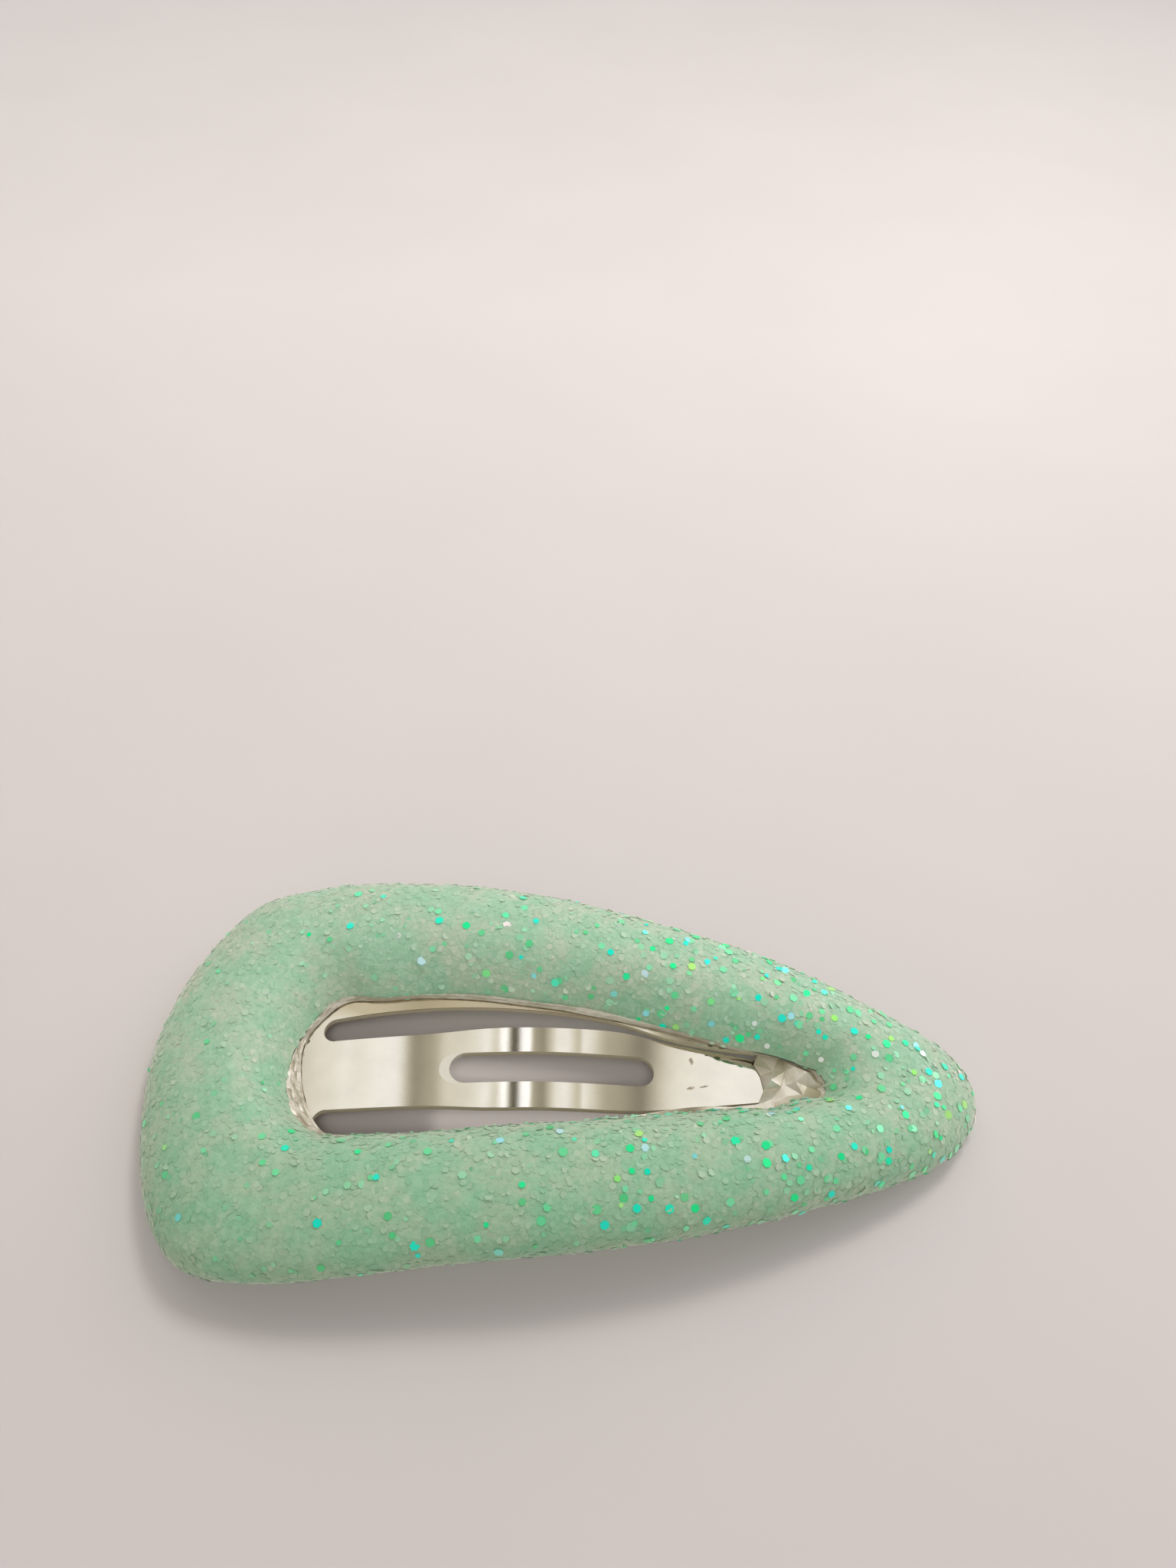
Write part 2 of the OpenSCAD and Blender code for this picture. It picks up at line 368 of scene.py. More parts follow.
def bump(tree, shader, height, strength, distance, below=None):
    """Relief on the shader, over the relief below it."""
    made = node(tree, "ShaderNodeBump", Strength=strength, Distance=distance)
    tree.links.new(height, made.inputs["Height"])
    if below is not None:
        tree.links.new(below, made.inputs["Normal"])
    tree.links.new(made.outputs["Normal"], shader.inputs["Normal"])
    return made.outputs["Normal"]


# The cloth's colour is darkened toward the near side as painted shade. In metres across the clip.
PAINTED_SHADE_FROM, PAINTED_SHADE_TO = -0.012, 0.005
SHEEN_TINT = (1, 0.9, 0.82, 1)
SHEEN_ROUGHNESS = 0.4


def add_sheen(shader, weight):
    shader.inputs["Sheen Weight"].default_value = weight
    shader.inputs["Sheen Roughness"].default_value = SHEEN_ROUGHNESS
    shader.inputs["Sheen Tint"].default_value = SHEEN_TINT


def blotched_and_shaded(tree, where, color):
    """The colour, greener in some places and more beige in others, and darkened toward the near side with
    painted shade.
    """
    broad = noise_value(tree, where, 380, 3, 0.55)
    blotches = ramp(tree, broad, [(0.4, (0.84, 1.0, 0.93)), (0.6, (1.07, 1.0, 0.98))])
    # Painted shade: the colour darkens toward the near side.
    painted_light_share = share_between(tree, xyz(tree, where)["Y"], PAINTED_SHADE_FROM, PAINTED_SHADE_TO)
    painted_shade = ramp(tree, painted_light_share, [(0.0, (0.65, 0.71, 0.64)), (1.0, (0.94, 0.89, 0.90))])
    return mix(tree, 1.0, mix(tree, 1.0, color, blotches, "MULTIPLY"), painted_shade, "MULTIPLY")


def glitter_fabric():
    """Mint cloth under the flakes: soft, mottled, a little streaked along the roll, and darkened on the near
    side with painted shade.
    """
    made, tree, shader = material("glitter_fabric")
    where = object_place(tree)
    mottle = noise_value(tree, where, 1300, 3, 0.6)
    streaks = noise_value(tree, stretched(tree, uv_map(tree, "roll"), (0.8, 2.4, 1)), 1, 3, 0.55)
    fine = noise_value(tree, where, 5200, 2)
    base = ramp(tree, mottle, [(0.3, linear(160, 202, 170)), (0.5, linear(176, 210, 179)),
                               (0.7, linear(194, 219, 192))])
    streaked = ramp(tree, streaks, [(0.4, grey(0.0)), (0.62, grey(0.6))])
    base = blotched_and_shaded(tree, where, mix(tree, streaked, base, linear(196, 219, 194)))
    pitted = ramp(tree, fine, [(0.3, grey(0.25)), (0.6, grey(0.0))])
    tree.links.new(mix(tree, pitted, base, linear(136, 184, 148)), shader.inputs["Base Color"])
    shader.inputs["Roughness"].default_value = 0.75
    add_sheen(shader, 0.8)
    under = bump(tree, shader, mottle, 0.5, 0.00015)
    bump(tree, shader, fine, 0.5, 0.00006, under)
    return made


def glitter_flakes():
    """Iridescent hexagons: most are pale and dull, some are mint, and a few bright green, blue or white. The
    bright ones glow a little as painted glints, and all are darkened on the near side with painted shade.
    """
    made, tree, shader = material("glitter_flakes")
    kind = attribute(tree, "flake")
    tint = ramp(tree, kind, [
        (0.0, linear(168, 206, 175)), (0.3, linear(178, 211, 182)), (0.6, linear(186, 215, 187)),
        (0.74, linear(199, 221, 198)), (0.75, linear(150, 226, 178)), (0.79, linear(176, 234, 196)),
        (0.80, linear(96, 226, 150)), (0.88, linear(140, 236, 186)), (0.885, linear(8, 246, 150)),
        (0.92, linear(30, 240, 160)), (0.925, linear(0, 246, 204)), (0.955, linear(10, 240, 222)),
        (0.96, linear(150, 240, 110)), (0.972, linear(190, 244, 140)), (0.978, linear(110, 228, 250)),
        (0.99, linear(250, 246, 240)), (1.0, linear(255, 240, 242))])
    shine = ramp(tree, kind, [(0.0, grey(0.0)), (0.74, grey(0.05)), (0.75, grey(0.2)), (1.0, grey(0.2))])
    rough = ramp(tree, kind, [(0.0, grey(0.6)), (0.74, grey(0.45)), (0.75, grey(0.28)), (1.0, grey(0.22))])
    # Painted glints: the bright kinds glow a little, so that they stay bright in shade.
    painted_glow = ramp(tree, kind, [(0.0, grey(0.0)), (0.75, grey(0.0)), (0.88, grey(0.14)), (0.985, grey(0.14)),
                             (1.0, grey(0.05))])
    tree.links.new(blotched_and_shaded(tree, object_place(tree), tint), shader.inputs["Base Color"])
    tree.links.new(shine, shader.inputs["Metallic"])
    tree.links.new(rough, shader.inputs["Roughness"])
    tree.links.new(tint, shader.inputs["Emission Color"])
    tree.links.new(painted_glow, shader.inputs["Emission Strength"])
    add_sheen(shader, 0.6)
    return made


# Finishes over the bright plate: tint, roughness and share of metal
Finish = namedtuple("Finish", "tint rough metal")
PLATE_TINT = (230, 224, 208)
CLOUDY = 0.93              # how bright the plate's cloudy places are beside that
# Painted shade and painted reflection on the arms: a tan tint, with a real rougher finish.
DULL_AND_SHADED = Finish((196, 184, 154), 0.2, 1.0)
SHEARED = Finish((214, 202, 176), 0.5, 0.5)
SCUFFED = Finish((150, 132, 104), 0.45, 1.0)
# Painted highlight: a matt pale crescent at the slot's end near the root.
CRESCENT_HIGHLIGHT = Finish((228, 221, 206), 0.5, 0.3)
# How a mark fades. Columns: distance as a share of its size, strength. The raggedness is added to that.
SCUFF_FADE = [(0.7, 0.75), (1.0, 0)]
SCUFF_RAGGED = 0.9
HIGHLIGHT_FADE = [(0.98, 1), (1.06, 0)]
HIGHLIGHT_RAGGED = 0.05
# The arms are duller than the plate, and tinted tan and darker as painted shade and painted reflection of the
# cloth over them, but bright again near the tip. Columns: distance from a point on the plate, share of that
# finish.
DULL_SHADE_FROM = (12, 0)
DULL_SHADE_SHARES = [(4.6, 0), (6.2, 1), (19, 1), (25, 0.2)]
RAMP_REACH = 50            # the distance that fills a ramp


def dull_and_shade_share(tree, plan):
    distance = node(tree, "ShaderNodeVectorMath", operation="DISTANCE")
    tree.links.new(plan, distance.inputs[0])
    distance.inputs[1].default_value = (*DULL_SHADE_FROM, 0)
    scaled = math_node(tree, "DIVIDE", distance.outputs["Value"], RAMP_REACH)
    return ramp(tree, scaled, [(away / RAMP_REACH, grey(share)) for away, share in DULL_SHADE_SHARES])


def mark(tree, plan, x, y, half_l, half_w, turn, fade=SCUFF_FADE, ragged=SCUFF_RAGGED):
    """The strength of an ellipse on the plan, a worn mark or a painted highlight, with a ragged edge."""
    shift = node(tree, "ShaderNodeMapping", vector_type="TEXTURE")
    shift.inputs["Location"].default_value = (x, y, 0)
    shift.inputs["Rotation"].default_value = (0, 0, turn)
    shift.inputs["Scale"].default_value = (half_l, half_w, 1)
    tree.links.new(plan, shift.inputs["Vector"])
    reach = node(tree, "ShaderNodeVectorMath", operation="LENGTH")
    tree.links.new(shift.outputs["Vector"], reach.inputs[0])
    edge = math_node(tree, "MULTIPLY_ADD", noise_value(tree, plan, 6, 3), ragged, reach.outputs["Value"])
    halved = math_node(tree, "DIVIDE", edge, 2)
    return ramp(tree, halved, [(place / 2, grey(strength)) for place, strength in fade])


def plated_steel(name, dulled_and_shaded=False, scuffs=(), highlight_disc=None):
    """Bright nickel plate with faint rolling lines. Dulled is for the arms, whose tan tint is painted shade
    and painted reflection of the cloth over them.

    Scuffs are (x, y, half length, half width, turn), and the painted highlight is a matt pale disc (x, y,
    radius)."""
    made, tree, shader = material(name)
    plan = uv_map(tree, "plan")
    cloud = noise_value(tree, plan, 0.45, 3)
    lines = noise_value(tree, stretched(tree, plan, (0.7, 26, 1)), 1, 3)
    pits = noise_value(tree, plan, 9, 4, 0.7)
    clouded = ramp(tree, cloud, [(0.35, grey(0.0)), (0.65, grey(0.5))])
    base = mix(tree, clouded, linear(*PLATE_TINT), linear(*(CLOUDY * c for c in PLATE_TINT)))
    rough = ramp(tree, lines, [(0.3, grey(0.01)), (0.7, grey(0.024))])
    metal = grey(1.0)
    layers = [(dull_and_shade_share(tree, plan), DULL_AND_SHADED)] if dulled_and_shaded else []
    layers += [(mark(tree, plan, *scuff), SCUFFED) for scuff in scuffs]
    layers.append((attribute(tree, "cut"), SHEARED))
    if highlight_disc:
        x, y, radius = highlight_disc
        layers.append((mark(tree, plan, x, y, radius, radius, 0, HIGHLIGHT_FADE, HIGHLIGHT_RAGGED), CRESCENT_HIGHLIGHT))
    for share, finish in layers:
        base = mix(tree, share, base, linear(*finish.tint))
        rough = mix(tree, share, rough, grey(finish.rough))
        metal = mix(tree, share, metal, grey(finish.metal))
    tree.links.new(base, shader.inputs["Base Color"])
    tree.links.new(rough, shader.inputs["Roughness"])
    tree.links.new(metal, shader.inputs["Metallic"])
    under = bump(tree, shader, lines, 0.03, 0.00002)
    bump(tree, shader, pits, 0.02, 0.00002, under)
    return made


def crimped_sheet():
    """Thin bright sheet, clouded, with the tone that each point carries; on the crumpled tip that tone is
    painted light and shade.
    """
    made, tree, shader = material("crimped_sheet")
    where = object_place(tree)
    cloud = noise_value(tree, where, 900, 3)
    base = ramp(tree, attribute(tree, "tone_and_shade"), [
        (0.0, linear(104, 98, 78)), (0.35, linear(170, 160, 130)), (0.7, linear(208, 198, 176)),
        (1.0, linear(240, 230, 218))])
    clouded = ramp(tree, cloud, [(0.4, grey(0.0)), (0.65, grey(0.4))])
    tree.links.new(mix(tree, clouded, base, linear(172, 158, 126)), shader.inputs["Base Color"])
    tree.links.new(ramp(tree, cloud, [(0.3, grey(0.3)), (0.7, grey(0.42))]), shader.inputs["Roughness"])
    shader.inputs["Metallic"].default_value = 0.55
    bump(tree, shader, noise_value(tree, where, 3500, 3), 0.25, 0.00004)
    return made


# The middle of the cover's hem, its half size, and the pocket for the steel. Columns: place across the roll,
# height over the steel sheet's middle.
HEM = (0.69, -0.52)
HEM_ROUND = (0.015, 0.18)
POCKET = [(0.55, -0.34), (0.43, -0.34), (0.41, 0.0), (0.43, 0.34), (0.66, 0.34), (0.90, 0.34), (0.92, 0.50),
          (0.96, 0.55)]
ROLL_MIDDLE = 0.5          # place of the roll's top and of its lowest line
# How many rows each stretch of the skin has
LIP_ROWS = 4
FLANK_ROWS = 42
TOP_ROWS = 42
SIDE_ROWS = 22
UNDER_ROWS = 14
HEM_ROWS = 5
HEM_CLOTH = 0.3            # how much of the cloth's unevenness the hem has
UNDER_CLOTH = 0.4          # and the roll's underside just before it
# The cloth's unevenness. Columns: size of the waves, shift of the noise, height.
NAP = [(5.5, (0, 0, 0), 0.10), (0.55, (40, 0, 0), 0.035), (0.22, (0, 70, 0), 0.025)]
# One row of the cover's skin along the roll: its place across, how far it follows the steel sheet and not
# the cover's own line, its height over that, its share of the cloth's unevenness, its extra height on the
# near side, and its share of the lower edge on the far side.
Row = namedtuple("Row", "place steel_share z cloth fuller lip", defaults=(0, 0))


def flank(turns, fullness=FLANK):
    """Place and height of the roll's skin, from 0 at the window to pi/2 at the top."""
    return (1 + np.cos(turns)) / 2, LIP_Z + (ROLL_T - LIP_Z) * (1 - np.cos(turns) ** fullness)


def outer_side(turns):
    """The same, from pi/2 at the top to -pi/2 at the bottom."""
    power = 2 / ROUNDNESS
    lift = np.abs(np.sin(turns)) ** power
    height = np.where(turns >= 0, BELLY_Z + (ROLL_T - BELLY_Z) * lift, BELLY_Z * (1 - lift))
    return (1 - np.cos(turns) ** power) / 2, height


def cover_rows():
    """The rows in order: up the flank, over the top, down the outer side, under and into the pocket."""
    rows = []
    pocket_place, pocket_z = POCKET[-1]
    for j in range(LIP_ROWS):
        t = j / LIP_ROWS
        place = pocket_place + (1 - pocket_place) * (2 * t - t * t)
        rows.append(Row(place, 1 - t, pocket_z * (1 - t) + LIP_Z * t, t, 0, t))
    upright = math.pi / 2
    turns = np.linspace(0, upright, FLANK_ROWS, endpoint=False)
    for place, z, near_z in zip(*flank(turns), flank(turns, NEAR_FLANK)[1]):
        rows.append(Row(place, 0, z, 1, near_z - z, (ROLL_T - z) / (ROLL_T - LIP_Z)))
    for first, last, count in ((upright, 0, TOP_ROWS), (0, -upright, SIDE_ROWS)):
        turns = np.linspace(first, last, count, endpoint=False)
        rows += [Row(place, 0, z, 1) for place, z in zip(*outer_side(turns))]
    for j in range(UNDER_ROWS):
        t = j / UNDER_ROWS
        ease = t * t * (3 - 2 * t)
        place = ROLL_MIDDLE + (HEM[0] - ROLL_MIDDLE) * t
        rows.append(Row(place, ease, (HEM[1] - HEM_ROUND[1]) * ease, 1 - (1 - UNDER_CLOTH) * t))
    for j in range(HEM_ROWS):
        a = math.pi * j / (HEM_ROWS - 1)
        place, z = HEM[0] + HEM_ROUND[0] * math.sin(a), HEM[1] - HEM_ROUND[1] * math.cos(a)
        rows.append(Row(place, 1, z, HEM_CLOTH))
    return rows + [Row(place, 1, z, 0) for place, z in POCKET]


def nap_height(point):
    return sum(height * noise.noise(point / size + Vector(shift)) for size, shift, height in NAP)


def make_cover():
    """The padded ring. It also returns its grid of points, their normals and the rows' shares of cloth."""
    rows = cover_rows()
    grid = np.zeros((STATIONS, len(rows), 3))
    for j, row in enumerate(rows):
        points = across(row.place)
        base = (1 - row.steel_share) * cover_z(points[:, 0]) + row.steel_share * steel_z(points)
        grid[:, j, :2] = points
        grid[:, j, 2] = base + row.z + near_share * row.fuller - FAR_LIP_DROP * far_share * row.lip
    grid = placed(grid.reshape(-1, 3)).reshape(grid.shape)
    normals = grid_normals(grid)
    cloth = np.array([row.cloth for row in rows])
    lift = np.zeros((STATIONS, len(rows)))
    for i in range(STATIONS):
        for j in np.nonzero(cloth)[0]:
            lift[i, j] = cloth[j] * nap_height(Vector(grid[i, j]) / MM) * MM
    grid += normals * lift[:, :, None]
    grid[:, :, 2] = np.maximum(grid[:, :, 2], 0)
    piece = new_object("padded_cover", grid.reshape(-1, 3), ring_faces(STATIONS, len(rows)))
    roll_uv(piece, grid)
    piece.data.materials.append(glitter_fabric())
    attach(piece, "clip_frame")
    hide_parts("cover")
    return grid, normals, cloth


# Rows of flakes: how many, radius from centre to corner, spread of their tilts in radians, first and last
# kind, how much thicker they lie toward the tip, where the bright rows crowd as painted glints, and height
# over the cloth.
FLAKE_ROWS = [(13000, 0.24, 0.05, 0.0, 0.75, 0.0, 0.015), (1400, 0.25, 0.17, 0.6, 0.80, 0.3, 0.04),
              (620, 0.29, 0.1, 0.77, 1.0, 1.0, 0.07)]
FLAKE_CORNERS = 6
FLAKE_SIZES = (0.6, 1.2)   # least and greatest share of that radius
FLAKE_ROOT = 0.12          # depth of the flake's root in the cloth
FLAKE_CLEAR = 1.2          # least height over the floor, as a share of the radius
FLAKED_CLOTH = 0.35        # flakes lie where the share of cloth is more than this
# How thickly the crowded rows lie, a painted glint pattern that puts more bright flakes toward the tip: at
# the clip's middle, the rise over its whole length, and the limits.
CROWD_MIDDLE, CROWD_RISE, CROWD_LIMITS = 0.6, 1.6, (0.08, 1.3)


def unit(vectors):
    return vectors / np.linalg.norm(vectors, axis=1, keepdims=True)


def flake_points(centre, normal, radius, tilt, rng):
    """Six corners and a root for each flake, which lies nearly flat on the cloth."""
    count = len(centre)
    up = unit(normal + tilt * rng.normal(0, 1, (count, 3)))
    aside = unit(np.cross(up, rng.normal(0, 1, (count, 3))))
    ahead = np.cross(up, aside)
    reach = radius * MM * rng.uniform(*FLAKE_SIZES, count)[:, None]
    angles = np.arange(FLAKE_CORNERS) * 2 * math.pi / FLAKE_CORNERS
    corners = [centre + reach * (math.cos(a) * aside + math.sin(a) * ahead) for a in angles]
    return np.stack(corners + [centre - FLAKE_ROOT * MM * up], axis=1)


def make_flakes(grid, normals, cloth):
    """Hexagons strewn over the cloth. Each has a pointed root, so that it is closed all round."""
    rng = np.random.default_rng(7)
    shown = np.nonzero(cloth > FLAKED_CLOTH)[0]
    first, last = shown[0], shown[-1]
    here, ahead = grid[:, first:last], np.roll(grid, -1, axis=0)[:, first:last]
    above = grid[:, first + 1:last + 1]
    area = np.linalg.norm(np.cross(ahead - here, above - here), axis=2).ravel()
    # Painted glints: the bright rows crowd toward the tip.
    toward_tip = here[:, :, 0] / (COVER_L * MM) * CROWD_RISE + CROWD_MIDDLE
    toward_tip = np.clip(toward_tip, *CROWD_LIMITS).ravel()
    points, kinds = [], []
    for count, radius, tilt, first_kind, last_kind, crowding, lift in FLAKE_ROWS:
        weight = area * toward_tip ** crowding
        pick = rng.choice(area.size, count, p=weight / weight.sum())
        i, j = pick // (last - first), pick % (last - first) + first
        u, v = rng.random(count)[:, None], rng.random(count)[:, None]
        corner = grid[i, j]
        along, up = grid[(i + 1) % STATIONS, j] - corner, grid[i, j + 1] - corner
        centre = corner + u * along + v * up + normals[i, j] * lift * MM
        centre[:, 2] = np.maximum(centre[:, 2], FLAKE_CLEAR * radius * MM)
        points.append(flake_points(centre, normals[i, j], radius, tilt, rng))
        kinds.append(rng.uniform(first_kind, last_kind, count))
    points, kinds = np.concatenate(points), np.concatenate(kinds)
    start = np.arange(len(kinds))[:, None] * (FLAKE_CORNERS + 1)
    faces = (start + np.arange(FLAKE_CORNERS)).tolist()
    for k in range(FLAKE_CORNERS):
        faces += (start + [(k + 1) % FLAKE_CORNERS, k, FLAKE_CORNERS]).tolist()
    piece = new_object("glitter_flakes", points.reshape(-1, 3), faces, smooth=False)
    kind = np.tile(kinds, FLAKE_CORNERS + 1).astype(np.float32)
    piece.data.attributes.new("flake", "FLOAT", "FACE").data.foreach_set("value", kind)
    piece.data.materials.append(glitter_flakes())
    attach(piece, "clip_frame")


# Steel parts: a flat plan is filled, thickened, cut into strips across and then bent.
STRIP = 0.35               # width of the strips
EDGE_ROUND = 0.045         # rounding of the cut edges
SLOPE_STEP = 0.02          # step for the slopes of the bent sheet
SHARP_ANGLE = math.radians(38)   # edges that bend more than this look sharp
FLAT_FACE = 0.99           # a face's upward part on the sheet's two sides is more than this
STEEP_FACE = 0.3           # and on its cut edges less than this


def filled_plate(loops, sharp_x):
    """A flat plate from closed loops. Its edges are rounded, apart from those on the line x = sharp_x."""
    bm = bmesh.new()
    for loop in loops:
        made = [bm.verts.new((x, y, -STEEL_T / 2)) for x, y in loop]
        for a, b in zip(made, made[1:] + made[:1]):
            bm.edges.new((a, b))
    bmesh.ops.triangle_fill(bm, use_beauty=True, use_dissolve=True, edges=bm.edges[:])
    raised = bmesh.ops.extrude_face_region(bm, geom=bm.faces[:], use_keep_orig=True)
    bmesh.ops.translate(bm, verts=[v for v in raised["geom"] if isinstance(v, bmesh.types.BMVert)],
                        vec=(0, 0, STEEL_T))
    bmesh.ops.recalc_face_normals(bm, faces=bm.faces[:])
    edges = [e for e in bm.edges if len(e.link_faces) == 2 and e.calc_face_angle() > 1
             and abs(e.verts[0].co.z - e.verts[1].co.z) < 1e-6
             and not all(abs(v.co.x - sharp_x) < 1e-4 for v in e.verts)]
    bmesh.ops.bevel(bm, geom=edges, offset=EDGE_ROUND, segments=2, profile=0.5, affect="EDGES",
                    clamp_overlap=True)
    return bm


def cut_finer(bm, cuts):
    """The plate cut into strips across, so that it can bend, and along any more cuts."""
    xs = [v.co.x for v in bm.verts]
    for axis, first, last, step in [(0, min(xs) + STRIP / 2, max(xs), STRIP), *cuts]:
        direction = Vector((axis == 0, axis == 1, 0))
        for place in np.arange(first, last, step):
            bmesh.ops.bisect_plane(bm, geom=bm.verts[:] + bm.edges[:] + bm.faces[:], dist=1e-3,
                                   plane_co=direction * place, plane_no=direction)
    bmesh.ops.triangulate(bm, faces=[f for f in bm.faces if len(f.verts) > 4])
    bm.normal_update()
    bm.verts.index_update()


def bent_normals(x, y, facing, bend):
    """The bent sheet's own normals. Facing is 1 on its top, -1 on its underside and 0 on its edge."""
    slope_x = (bend(x + SLOPE_STEP, y) - bend(x - SLOPE_STEP, y)) / (2 * SLOPE_STEP)
    slope_y = (bend(x, y + SLOPE_STEP) - bend(x, y - SLOPE_STEP)) / (2 * SLOPE_STEP)
    upright = np.column_stack([-slope_x, -slope_y, np.ones(len(x))]) * facing[:, None]
    upright = turned(upright + [PIVOT_X, 0, 0]) - turned(np.array([[PIVOT_X, 0, 0]]))
    return upright / np.maximum(np.linalg.norm(upright, axis=1, keepdims=True), 1e-9)


def smooth_plate(mesh, rounded, facing, upright):
    """Smooth shading, with the bent sheet's own normals on its two sides and where they are rounded."""
    mesh.polygons.foreach_set("use_smooth", [True] * len(mesh.polygons))
    mesh.set_sharp_from_angle(angle=SHARP_ANGLE)
    corner = np.zeros(len(mesh.loops), int)
    mesh.loops.foreach_get("vertex_index", corner)
    normals = np.zeros(len(mesh.loops) * 3, np.float32)
    mesh.corner_normals.foreach_get("vector", normals)
    normals = normals.reshape(-1, 3)
    own = rounded & (facing[corner] != 0)
    normals[own] = upright[corner[own]]
    mesh.normals_split_custom_set(normals.tolist())


def plate(name, loops, bend, sharp_x, cuts=()):
    """A plate from closed plan loops, bent to the height that bend(x, y) gives its middle.

    Each cut is (axis, first, last, step) and makes the mesh finer there."""
    bm = filled_plate(loops, sharp_x)
    cut_finer(bm, cuts)
    facing = np.zeros(len(bm.verts))
    for face in bm.faces:
        if abs(face.normal.z) > FLAT_FACE:
            facing[[v.index for v in face.verts]] = round(face.normal.z)
    sheared = np.array([abs(face.normal.z) < STEEP_FACE for face in bm.faces])
    rounded = np.repeat(~sheared, [len(face.verts) for face in bm.faces])
    uv = bm.loops.layers.uv.new("plan")
    for face in bm.faces:
        for corner in face.loops:
            corner[uv].uv = corner.vert.co.xy
    points = np.array([v.co for v in bm.verts], float)
    x, y = points[:, 0].copy(), points[:, 1].copy()
    points[:, 2] += bend(x, y)
    for v, co in zip(bm.verts, placed(turned(points))):
        v.co = co
    mesh = bpy.data.meshes.new(name)
    bm.to_mesh(mesh)
    bm.free()
    mesh.attributes.new("cut", "FLOAT", "FACE").data.foreach_set("value", sheared.astype(np.float32))
    smooth_plate(mesh, rounded, facing, bent_normals(x, y, facing, bend))
    piece = bpy.data.objects.new(name, mesh)
    bpy.context.scene.collection.objects.link(piece)
    return piece


def make_frame():
    """The arched sheet with its two arms and, between them, the tongue's opening."""
    arms = mirrored(chain(ARM_ARCS, ARM_STEPS, GAP_OUTER, GAP_HEADING), open_start=True)
    relief = (K * GAP_OUTER[0], K * RELIEF_Y)
    radius = K * (GAP_OUTER[1] - RELIEF_Y)
    upper = circle_points(relief, radius, -90, -180, RELIEF_STEPS)
    lower = [(x, -y) for x, y in circle_points(relief, radius, 90, 180, RELIEF_STEPS)]
    opening = upper + pushed(arms, ARM_PUSHES)[1:-1].tolist() + lower
    outer = across(FRAME_EDGE)[::FRAME_EVERY].tolist()
    piece = plate("steel_frame", [outer, opening], lambda x, y: arch_z(x), relief[0])
    piece.data.materials.append(plated_steel("spring_steel", dulled_and_shaded=True))
    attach(piece, "clip_frame")
    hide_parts("spring_frame")


# The tongue's slope along its length: it rises from the root, bends over its middle and ends in a straight
# pad. Columns: place along it, slope.
TONGUE_SLOPES = [
    (13, 0.198), (13.82, 0.19), (15, 0.166), (18.9, 0.135), (22, 0.11), (24, 0.098), (26.4, 0.07),
    (28, 0.038), (29.6, -0.03), (31.8, -0.075), (31.95, -0.09), (33.15, -0.095), (36.6, -0.125),
    (38.4, -0.13), (44.5, -0.14), (46, -0.19), (52, -0.2)]
TONGUE_STEP = 0.05         # step for adding the slopes up
# Its half width from the root to its shoulder. Columns: place along it, half width.
NECK = [(GAP_OUTER[0], 2.76), (20, 2.85), (21.5, 2.91), (22.7, 2.99), (23.8, 3.08), (25, 3.16), (26.5, 3.2)]
# Cuts along the tongue. Columns: the axis that they cross, first place, end, step.
TONGUE_CUTS = [(1, -2, 2.1, 1)]
HIGHLIGHT_WIDTH = 0.72          # the slot's end near the root carries a painted highlight, matt and pale, over this width
# Worn marks on the pad. Columns: x, y, half length, half width, turn in radians.
PAD_SCUFFS = [(40.2, 1.2, 0.34, 0.6, 0.3), (40.0, -1.0, 0.62, 0.26, 0.25), (41.0, -0.8, 0.8, 0.17, 0.3)]


def tongue_z(x, y):
    """Height of the tongue's middle. It doesn't change across the tongue."""
    places, slopes = np.array(TONGUE_SLOPES).T
    fine = np.arange(places[0], places[-1], TONGUE_STEP)
    slope = np.interp(fine, places, slopes)
    rise = K * TONGUE_STEP * np.cumsum(np.append(0, (slope[1:] + slope[:-1]) / 2))
    return np.interp(x, K * fine, arch_z(K * fine[0]) + rise)


def make_tongue():
    """The slotted tongue. On the real clip it bends at its root when it snaps; here it is built at rest."""
    pad = chain(PAD_ARCS, PAD_STEPS, (PAD_X, TONGUE_W / 2), 0)
    half = [(K * x, K * y) for x, y in NECK] + pad.tolist()
    whole = half + [(x, -y) for x, y in half[::-1]]
    outline = [whole[0]] + pushed(np.array(whole), PAD_PUSHES)[1:-1].tolist() + [whole[-1]]
    radius = K * SLOT_W / 2
    near = (K * (SLOT_X + SLOT_W / 2), 0)
    far = (K * (SLOT_X + SLOT_L - SLOT_W / 2), 0)
    slot = circle_points(near, radius, 90, 180, SLOT_STEPS) + circle_points(far, radius, -90, 180, SLOT_STEPS)
    piece = plate("steel_tongue", [outline, slot], tongue_z, K * GAP_OUTER[0], TONGUE_CUTS)
    # Painted highlight at the slot's near end.
    highlight_disc = (near[0] - HIGHLIGHT_WIDTH, 0, radius)
    piece.data.materials.append(plated_steel("tongue_steel", scuffs=PAD_SCUFFS, highlight_disc=highlight_disc))
    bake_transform(piece)
    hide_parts("tongue")


# The crimped rim's cross-section. Columns: place from the window's edge at 0 to the rim's inner edge at 1,
# height over the steel sheet's middle, share of the crease.
RIM_FOLDS = [(1, 0.39, 0.1), (0.85, 0.45, -0.3), (0.7, 0.52, -0.7), (0.57, 0.58, 0.2), (0.45, 0.62, 0.8),
             (0.32, 0.64, -0.2), (0.2, 0.66, -1)]
